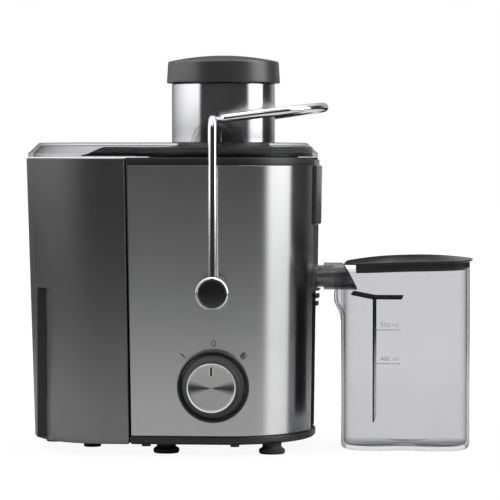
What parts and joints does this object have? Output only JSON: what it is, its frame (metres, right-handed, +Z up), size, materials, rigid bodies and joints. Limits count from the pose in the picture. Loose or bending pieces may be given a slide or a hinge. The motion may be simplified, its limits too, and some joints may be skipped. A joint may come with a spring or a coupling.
{
  "type": "centrifugal juicer",
  "caption": "Centrifugal juicer with a steel-fronted motor base, side pulp bin, round feed chute with pusher, swinging lock arm, rotary dial and a separate lidded juice jug.",
  "frame": {"origin": "on the table under the middle of the bounding box of the whole, jug and bin in place", "axes": "+Z up, +X from the pulp bin towards the juice jug, -Y towards the user and the dial"},
  "size_m": [0.362, 0.206, 0.3163],
  "materials": {
    "dark_plastic": "satin dark grey moulding",
    "black_plastic": "black moulding, semi-gloss",
    "smoked_plastic": "smoked see-through plastic, glossy",
    "jug_plastic": "lightly smoked see-through plastic, glossy",
    "brushed_panel": "stainless sheet, brushed along its length",
    "polished_steel": "stainless steel, near mirror finish",
    "chrome": "chromed steel rod",
    "rubber": "matt black rubber",
    "pale_plastic": "natural acetal",
    "lamination_steel": "plain steel",
    "copper": "enamelled copper winding",
    "carbon": "pressed carbon"
  },
  "bodies": {
    "housing": {"body_shell": "dark_plastic", "base_plate": "black_plastic", "dial_bezel": "black_plastic", "pivot_bush_front": "black_plastic", "pivot_bush_rear": "black_plastic", "speed_switch": "black_plastic", "interlock_switch": "black_plastic", "cover": "smoked_plastic", "juice_collector": "smoked_plastic", "spout_nozzle": "smoked_plastic", "steel_wrap": "brushed_panel", "chute_sleeve": "polished_steel", "upper_bearing": "polished_steel", "lower_bearing": "polished_steel", "foot_front_left": "rubber", "foot_front_right": "rubber", "foot_rear_left": "rubber", "foot_rear_right": "rubber", "shaft_seal": "rubber", "cord_gland": "rubber", "motor_stator": "lamination_steel", "upper_bracket": "lamination_steel", "lower_bracket": "lamination_steel", "base_screw_1": "lamination_steel", "base_screw_2": "lamination_steel", "base_screw_3": "lamination_steel", "base_screw_4": "lamination_steel", "pivot_screw_front": "lamination_steel", "pivot_screw_rear": "lamination_steel", "field_coil_upper": "copper", "field_coil_lower": "copper", "carbon_brush_left": "carbon", "carbon_brush_right": "carbon"},
    "rotor": {"motor_shaft": "polished_steel", "armature": "copper", "commutator": "copper", "cooling_fan": "black_plastic", "drive_coupling": "black_plastic"},
    "basket": {"basket_hub": "dark_plastic", "filter_mesh": "polished_steel", "basket_ring": "dark_plastic", "grater_disc": "polished_steel"},
    "pusher": {"pusher_cap": "dark_plastic", "pusher_body": "dark_plastic"},
    "arm": {"lock_arm": "chrome", "pivot_cap_front": "black_plastic", "pivot_cap_rear": "black_plastic", "pivot_ring_front": "chrome", "pivot_ring_rear": "chrome"},
    "knob": {"knob_body": "black_plastic", "knob_disc": "brushed_panel", "switch_shaft": "pale_plastic"},
    "bin": {"pulp_bin": "dark_plastic", "bin_pad_1": "rubber", "bin_pad_2": "rubber", "bin_pad_3": "rubber"},
    "jug": {"juice_jug": "jug_plastic", "foam_divider": "jug_plastic"},
    "lid": {"jug_lid": "black_plastic"},
    "safety_rod": {"interlock_rod": "pale_plastic"}
  },
  "joints": [
    {"name": "motor_spin", "type": "hinge", "parent": "housing", "child": "rotor", "pos_m": [-0.021, 0.00186, 0.075], "axis": [0, 0, 1], "continuous": true},
    {"name": "basket_spin", "type": "hinge", "parent": "housing", "child": "basket", "pos_m": [-0.021, 0.00186, 0.16], "axis": [0, 0, 1], "continuous": true},
    {"name": "pusher_lift", "type": "slide", "parent": "housing", "child": "pusher", "axis": [0, 0, 1], "range_m": [0, 0.115]},
    {"name": "arm_swing", "type": "hinge", "parent": "housing", "child": "arm", "pos_m": [-0.021, 0.00186, 0.1282], "axis": [0, 1, 0], "range_deg": [0, 45]},
    {"name": "knob_turn", "type": "hinge", "parent": "housing", "child": "knob", "pos_m": [-0.021, -0.08815, 0.055], "axis": [0, -1, 0], "range_deg": [-45, 45]},
    {"name": "bin_slide", "type": "slide", "parent": "housing", "child": "bin", "axis": [-1, 0, 0], "range_m": [0, 0.15]},
    {"name": "jug_slide", "type": "slide", "parent": "housing", "child": "jug", "axis": [1, 0, 0], "range_m": [0, 0.15]},
    {"name": "jug_lid_lift", "type": "slide", "parent": "jug", "child": "lid", "axis": [0, 0, 1], "range_m": [0, 0.06]},
    {"name": "interlock_rod_press", "type": "slide", "parent": "housing", "child": "safety_rod", "axis": [0, 0, 1], "range_m": [-0.002, 0], "stiffness_N_per_m": 200}
  ],
  "couplings": [
    {"joint": "basket_spin", "follows": "motor_spin", "ratio": 1}
  ]
}
